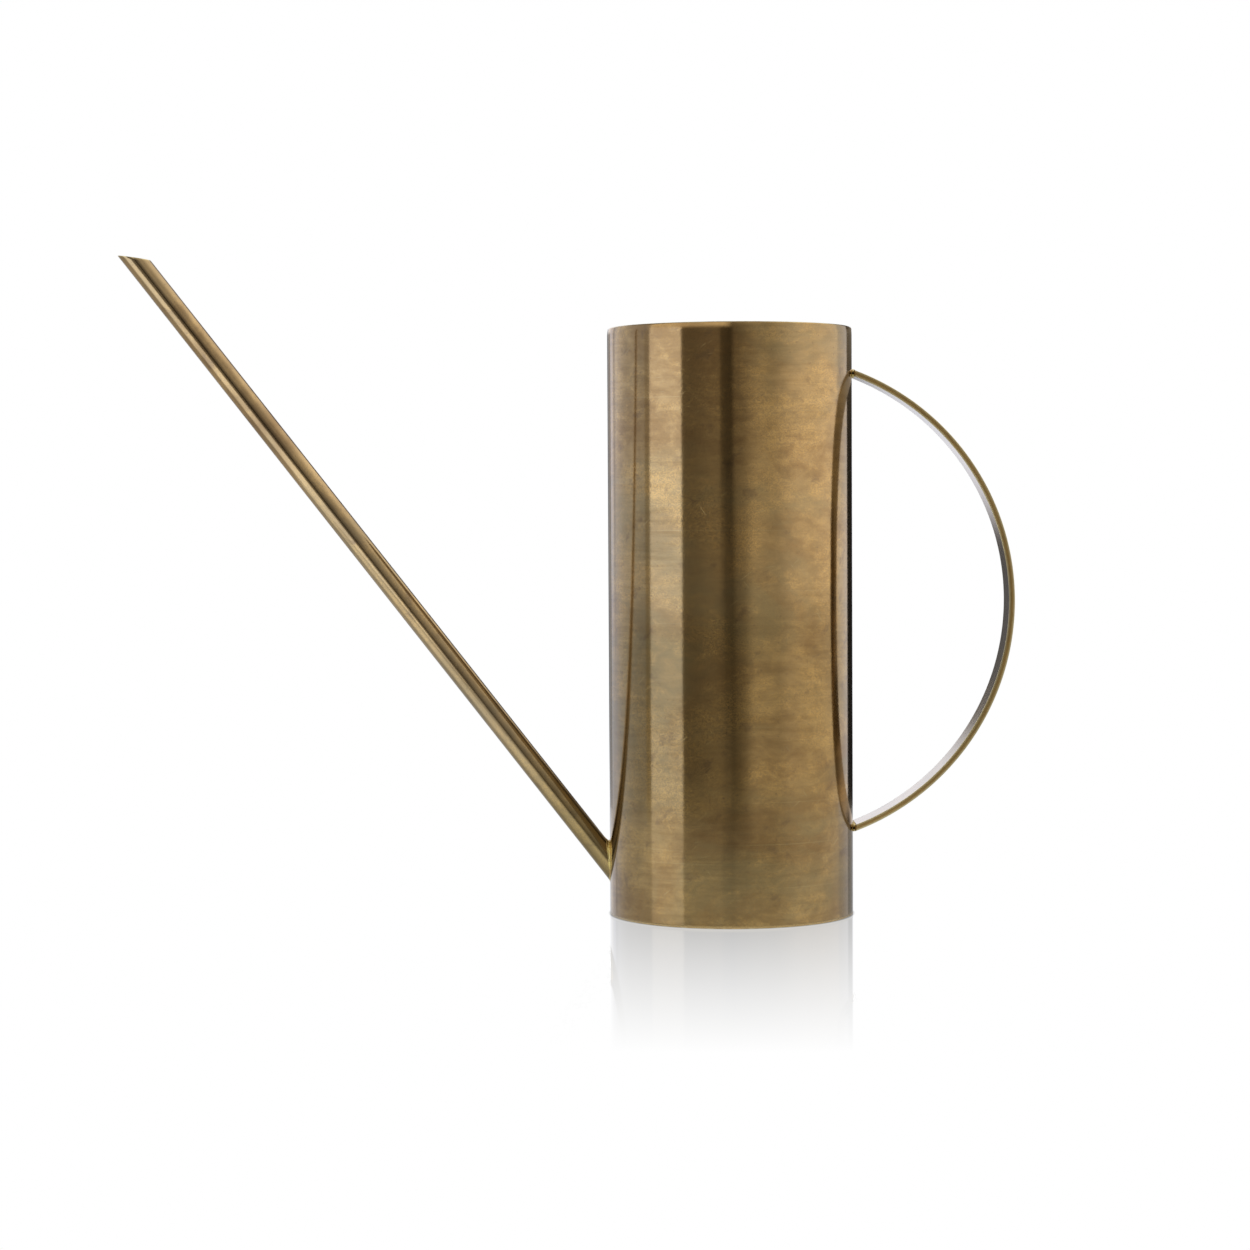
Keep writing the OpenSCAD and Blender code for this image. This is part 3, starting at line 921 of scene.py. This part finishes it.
def add_seam():
    """The seam's braze: a strip that fills the butt gap, a hair proud outside, with a low round bead inside.
    Its section is an outline in plan, carried up the can. The bead swells and thins, and dies away below the
    lip."""
    size = settings().can
    inner_r = CAN_R - size.wall
    half_gap = size.seam_gap / 2 + 0.02 * MM
    bead_low = BASE_TOP + size.base_fillet
    bead_high = CAN_TOP - size.seam_stop
    z = np.concatenate([[BASE_TOP], np.linspace(bead_low, bead_high, 260),
                        CAN_TOP - np.array([2, 0.7, 0.12]) * MM])
    ends = np.clip(np.minimum(z - bead_low + 0.8 * MM, bead_high - z + 0.8 * MM) / (3 * MM), 0, 1)
    swell = np.sqrt(ends) * (1 + wave(z / MM, (0.10, 0.55, 0.2), (0.07, 1.4, 2.2), (0.05, 3.7, 1.0)))
    swell = np.maximum(swell, 0.03)
    arc = np.linspace(math.pi / 2, 3 * math.pi / 2, 14)
    depth = size.seam_bead * 0.75
    bead_x = inner_r + depth * np.cos(arc)[None, :] * swell[:, None] + 0.02 * MM
    width = np.maximum(size.seam_bead * swell, half_gap)
    bead_y = width[:, None] * np.sin(arc)[None, :]
    lip = np.where(z > CAN_TOP - size.wall / 2, -0.12 * MM, 0.03 * MM)
    face = CAN_R + lip[:, None] + np.zeros((1, 4))
    face_y = np.array([-1, -0.4, 0.4, 1])[None, :] * half_gap + np.zeros((len(z), 1))
    x = np.concatenate([bead_x, face], 1)
    y = np.concatenate([bead_y, face_y], 1)
    columns = x.shape[1]
    points = np.stack([x, y, np.repeat(z[:, None], columns, 1)], -1).reshape(-1, 3)
    sheet = np.stack([points[:, 2], points[:, 1]], 1)
    make_braze("seam", "seam_braze", points, bar_faces(len(z), columns), sheet)


# ---------------------------------------------------------------- the studio

# What stands round the can, from the room's far side to its near side; each covers the ones before it.
# Bearings are in degrees from behind the can towards its handle, heights in degrees above the horizon.
# Each row: what it is, bearing from, its softness, bearing to, its softness, height from, its softness,
# height to, its softness, brightness, tint
WARM, PLAIN, COOL = (1.0, 0.97, 0.92), (1.0, 1.0, 1.0), (0.88, 1.0, 1.36)
PANELS = (
    ("right room", 40, 4, 164, 28, -90, 1, 60, 20, 0.31, PLAIN),
    ("right softbox", 40, 4, 127, 42, -90, 1, 60, 20, 0.71, (1.0, 1.01, 1.12)),
    ("right softbox core", 40, 4, 90, 16, -90, 1, 60, 20, 0.80, (1.0, 1.01, 1.12)),
    ("right softbox foot", 40, 4, 127, 42, -90, 1, -1.5, 5, 0.63, PLAIN),
    ("right room foot", 136, 16, 164, 12, -90, 1, -1.5, 5, 0.50, PLAIN),
    ("right rear wall", 36, 2, 60, 6, -90, 1, 60, 20, 0.60, (0.94, 1.0, 1.2)),
    ("right rear wall foot", 36, 2, 60, 6, -90, 1, 0, 5, 0.80, (0.92, 1.0, 1.22)),
    ("right above", 40, 4, 176, 10, 22, 14, 90, 1, 0.42, (1.0, 0.97, 0.9)),
    ("right above core", 40, 4, 115, 70, 26, 14, 90, 1, 0.92, (1.0, 0.98, 0.93)),
    ("backdrop", -26, 2, 37, 2, -90, 1, 60, 20, 1.0, (0.94, 0.98, 1.1)),
    ("backdrop foot", -26, 2, -9, 4, -6.2, 1.6, 4.4, 3, 0.29, (0.95, 1.0, 1.1)),
    ("backdrop gap", -10, 3, 6, 4, -5.0, 2, 4.6, 2.6, 0.06, (0.93, 0.98, 1.08)),
    ("black card", 10, 6, 37.5, 1.6, -9.5, 2, 4.0, 2.5, 0.012, WARM),
    ("tall black card", 17, 12, 37.5, 1.6, -7, 2, 34, 10, 0.015, WARM),
    ("black card's top", 10, 6, 37.5, 1.6, 2.6, 2.0, 7, 3, 0.19, (1.0, 0.9, 0.75)),
    ("left wall", -97, 1.5, -36, 2, -90, 1, 30, 16, 0.27, COOL),
    ("left wall upper", -97, 1.5, -68, 16, -1.5, 5, 30, 16, 0.46, COOL),
    ("left wall glow", -66, 60, -39, 10, -1.5, 9, 30, 16, 0.74, COOL),
    ("left wall low glow", -66, 60, -36, 2, -90, 1, -1.5, 9, 0.64, COOL),
    ("left strip", -36, 3, -26, 2, -90, 1, 30, 16, 0.74, (0.90, 1.0, 1.34)),
    ("left strip foot", -36, 3, -26, 2, -90, 1, -2, 4, 0.58, (0.90, 1.0, 1.25)),
    ("left softbox", -132.5, 1.4, -97.5, 1.2, -90, 1, 27, 12, 1.04, (0.88, 0.99, 1.32)),
    ("left softbox foot", -132.5, 1.4, -97.5, 1.2, -90, 1, -1.5, 6, 0.72, (0.88, 1.03, 1.5)),
    ("softbox frame", -97.3, 1.4, -91.5, 2, -90, 1, 3, 4, 0.24, PLAIN),
    ("dark beside softbox", -154, 26, -132.5, 1.4, -90, 1, 20, 12, 0.105, WARM),
    ("camera", -181, 4, -169.5, 1.4, -0.5, 2, 12, 8, 0.03, WARM),
    ("camera stand", -183.5, 4, -173, 3, -3.7, 2.5, -0.5, 2, 0.04, WARM),
    ("camera feet", -188, 5, -178.5, 4, -7, 2, -3.7, 2.5, 0.07, WARM),
    ("overhead", -178, 10, -97, 10, 13, 10, 90, 1, 0.70, PLAIN),
    ("table beyond", -179.5, 0.5, 179.5, 0.5, -90, 1, -9, 2, 0.38, (1.0, 0.98, 0.95)),
    ("lit table", -165, 16, -112, 20, -42, 12, -10, 4, 1.12, (0.93, 1.0, 1.12)),
)
AMBIENT = 0.165
# its lower edge, the edge's softness and its brightness
CEILING = (62, 24, 0.30)
CAMERA_PLACE, CAMERA_LENS = (-0.0433, -1.246, 0.1691), 87.43
CAMERA_PITCH, CAMERA_ROLL = math.radians(2.315), math.radians(0.315)
FLOOR_REACH, FLOOR_DROP, FLOOR_SIDES = 0.45, 0.05 * MM, 96


def above(tree, value, edge, soft):
    """1 above the edge, falling softly to 0 below it."""
    return remap(tree, value, edge - soft / 2, edge + soft / 2)


def below(tree, value, edge, soft):
    """1 below the edge, falling softly to 0 above it."""
    return remap(tree, value, edge - soft / 2, edge + soft / 2, 1.0, 0.0)


def window(tree, value, low, low_soft, high, high_soft):
    """1 between low and high, falling softly to 0 outside."""
    return times(tree, above(tree, value, low, low_soft), below(tree, value, high, high_soft))


def studio_light():
    """The world: panels of light and dark round the can. The camera and the floor's mirror see white."""
    world = bpy.data.worlds.new("Studio")
    bpy.context.scene.world = world
    world.use_nodes = True
    tree = world.node_tree
    tree.nodes.clear()
    toward = add(tree, "ShaderNodeTexCoord").outputs["Generated"]
    split = add(tree, "ShaderNodeSeparateXYZ", in_Vector=toward).outputs
    bearing = maths(tree, "DEGREES", maths(tree, "ARCTAN2", split[0], split[1]))
    height = maths(tree, "DEGREES", maths(tree, "ARCSINE", split[2]))
    # a second measure of bearing, whose join is behind the can, for what straddles the half turn
    past_half = maths(tree, "SUBTRACT", maths(tree, "FLOORED_MODULO", bearing, 360.0), 360.0)
    total = tuple(AMBIENT * c for c in WARM)
    for _, left, left_soft, right, right_soft, low, low_soft, high, high_soft, strength, tint in PANELS:
        turned = past_half if left < -180 else bearing
        mask = window(tree, turned, left, left_soft, right, right_soft)
        if low > -90:
            mask = times(tree, mask, above(tree, height, low, low_soft))
        if high < 90:
            mask = times(tree, mask, below(tree, height, high, high_soft))
        total = blend_colour(tree, mask, total, [strength * c for c in tint])
    start, soft, strength = CEILING
    total = blend_colour(tree, above(tree, height, start, soft), total, [strength] * 3)
    light_path = add(tree, "ShaderNodeLightPath").outputs
    white = maths(tree, "MAXIMUM", light_path["Is Camera Ray"], light_path["Is Singular Ray"])
    colour = blend_colour(tree, white, total, (1, 1, 1))
    background = add(tree, "ShaderNodeBackground", in_Color=colour, in_Strength=1.0).outputs[0]
    add(tree, "ShaderNodeOutputWorld", in_Surface=background)


def floor_material():
    """White acrylic. The camera sees it as white, with a painted contact shadow where the can touches it,
    and a clear reflection that fades away from the can. The brass sees it as a soft light, brightest near
    the can, with a gloss."""
    look = settings().studio
    material = bpy.data.materials.new("White Acrylic")
    material.use_nodes = True
    tree = material.node_tree
    tree.nodes.clear()
    white = (1, 1, 1, 1)

    def mixed(factor, first, second):
        """The two shaders mixed."""
        return add(tree, "ShaderNodeMixShader", in_0=factor, in_1=first, in_2=second).outputs[0]

    def shine(colour, strength):
        """A surface that shines evenly."""
        return add(tree, "ShaderNodeEmission", in_Color=colour, in_Strength=strength).outputs[0]

    def gloss(roughness):
        """A colourless gloss."""
        return add(tree, "ShaderNodeBsdfGlossy", in_Color=white, in_Roughness=roughness).outputs[0]

    place = add(tree, "ShaderNodeTexCoord").outputs["Object"]
    away = add(tree, "ShaderNodeVectorMath", operation="LENGTH", in_0=place).outputs["Value"]
    fade = remap(tree, away, CAN_R, look.mirror_reach, look.mirror, 0.0, smooth=False)
    # painted shadow: the white is darkened to 0.35 in a thin ring round the can's foot
    painted_contact_shadow = remap(tree, away, CAN_R - 0.2 * MM, CAN_R + 1.0 * MM, 0.35, 1.0)
    seen = mixed(fade, shine(white, painted_contact_shadow), gloss(0.0))
    across = add(tree, "ShaderNodeSeparateXYZ", in_Vector=place).outputs
    glow = plus(tree, remap(tree, across[0], 0.25, 0.10, 0.42, 0.60, smooth=False),
                remap(tree, across[0], 0.10, -0.14, 0.0, 0.32, smooth=False))
    near = times(tree, remap(tree, across[1], 0.03, -0.07, 0.45, 1.0),
                 remap(tree, across[1], -0.14, -0.28, 1.0, 0.6))
    glow = maths(tree, "MAXIMUM", times(tree, glow, near), 0.45)
    fresnel = add(tree, "ShaderNodeFresnel", in_IOR=1.45).outputs[0]
    lit = mixed(fresnel, shine((0.93, 1.0, 1.08, 1), glow), gloss(0.12))
    camera_ray = add(tree, "ShaderNodeLightPath").outputs["Is Camera Ray"]
    add(tree, "ShaderNodeOutputMaterial", in_Surface=mixed(camera_ray, lit, seen))
    return material


def add_stage():
    """Camera, floor and studio light."""
    scene = bpy.context.scene
    data = bpy.data.cameras.new("Camera")
    data.sensor_width = 36
    data.lens = CAMERA_LENS
    camera = bpy.data.objects.new("Camera", data)
    scene.collection.objects.link(camera)
    ahead = Vector((0, math.cos(CAMERA_PITCH), -math.sin(CAMERA_PITCH)))
    right = Vector((1, 0, 0))
    up = right.cross(ahead)
    cos, sin = math.cos(CAMERA_ROLL), math.sin(CAMERA_ROLL)
    right, up = right * cos - up * sin, up * cos + right * sin
    turned = Matrix((right, up, -ahead)).transposed().to_4x4()
    camera.matrix_world = Matrix.Translation(CAMERA_PLACE) @ turned
    scene.camera = camera
    scene.view_settings.view_transform = "Standard"
    turn = whole_circle(FLOOR_SIDES)
    rim = np.stack([FLOOR_REACH * np.cos(turn), FLOOR_REACH * np.sin(turn),
                    np.full(FLOOR_SIDES, -FLOOR_DROP)], 1)
    mesh = bpy.data.meshes.new("floor")
    mesh.from_pydata(rim.tolist(), [], [tuple(range(FLOOR_SIDES))])
    mesh.materials.append(floor_material())
    floor = bpy.data.objects.new("floor", mesh)
    scene.collection.objects.link(floor)
    studio_light()


# ---------------------------------------------------------------- operators, panel and registering

class MakeCan(bpy.types.Operator):
    """Make the rolled can wall with its lip and spout port"""
    bl_idname = "watering_can.wall"
    bl_label = "Can Wall"

    def execute(self, context):
        add_can_wall()
        return {"FINISHED"}


class MakeBase(bpy.types.Operator):
    """Make the base plate"""
    bl_idname = "watering_can.base"
    bl_label = "Base Plate"

    def execute(self, context):
        add_base_plate()
        return {"FINISHED"}


class MakeSpout(bpy.types.Operator):
    """Make the spout tube"""
    bl_idname = "watering_can.spout"
    bl_label = "Spout"

    def execute(self, context):
        add_spout()
        return {"FINISHED"}


class MakeStrap(bpy.types.Operator):
    """Make the handle strap"""
    bl_idname = "watering_can.strap"
    bl_label = "Handle Strap"

    def execute(self, context):
        add_strap()
        return {"FINISHED"}


class MakeBrazes(bpy.types.Operator):
    """Make every bead and fillet of braze"""
    bl_idname = "watering_can.brazes"
    bl_label = "Brazes"

    def execute(self, context):
        add_spout_braze()
        add_strap_brazes()
        add_base_fillet()
        add_seam()
        return {"FINISHED"}


class MakeStage(bpy.types.Operator):
    """Make the camera, the floor and the studio light"""
    bl_idname = "watering_can.stage"
    bl_label = "Studio"

    def execute(self, context):
        add_stage()
        return {"FINISHED"}


class WateringCanPanel(bpy.types.Panel):
    """The add-on's buttons and settings"""
    bl_idname = "VIEW3D_PT_watering_can"
    bl_label = "Watering Can"
    bl_space_type = "VIEW_3D"
    bl_region_type = "UI"
    bl_category = "Watering Can"

    def draw(self, context):
        layout = self.layout
        for operator in OPERATORS:
            layout.operator(operator.bl_idname)
        for part in ("can", "spout", "strap", "brass", "studio"):
            group = getattr(settings(), part)
            box = layout.box()
            for key in group.bl_rna.properties.keys():
                if key not in ("rna_type", "name"):
                    box.prop(group, key)


OPERATORS = (MakeStage, MakeCan, MakeBase, MakeSpout, MakeStrap, MakeBrazes)
CLASSES = (CanShape, SpoutShape, StrapShape, BrassLook, StudioLook, WateringCan, *OPERATORS,
           WateringCanPanel)


def register():
    for cls in CLASSES:
        bpy.utils.register_class(cls)
    bpy.types.Scene.watering_can = PointerProperty(type=WateringCan)


def unregister():
    del bpy.types.Scene.watering_can
    for cls in reversed(CLASSES):
        bpy.utils.unregister_class(cls)


def main():
    """Registers the add-on and makes everything in order."""
    register()
    bpy.ops.watering_can.stage()
    bpy.ops.watering_can.wall()
    bpy.ops.watering_can.base()
    bpy.ops.watering_can.spout()
    bpy.ops.watering_can.strap()
    bpy.ops.watering_can.brazes()


if __name__ == "__main__":
    main()
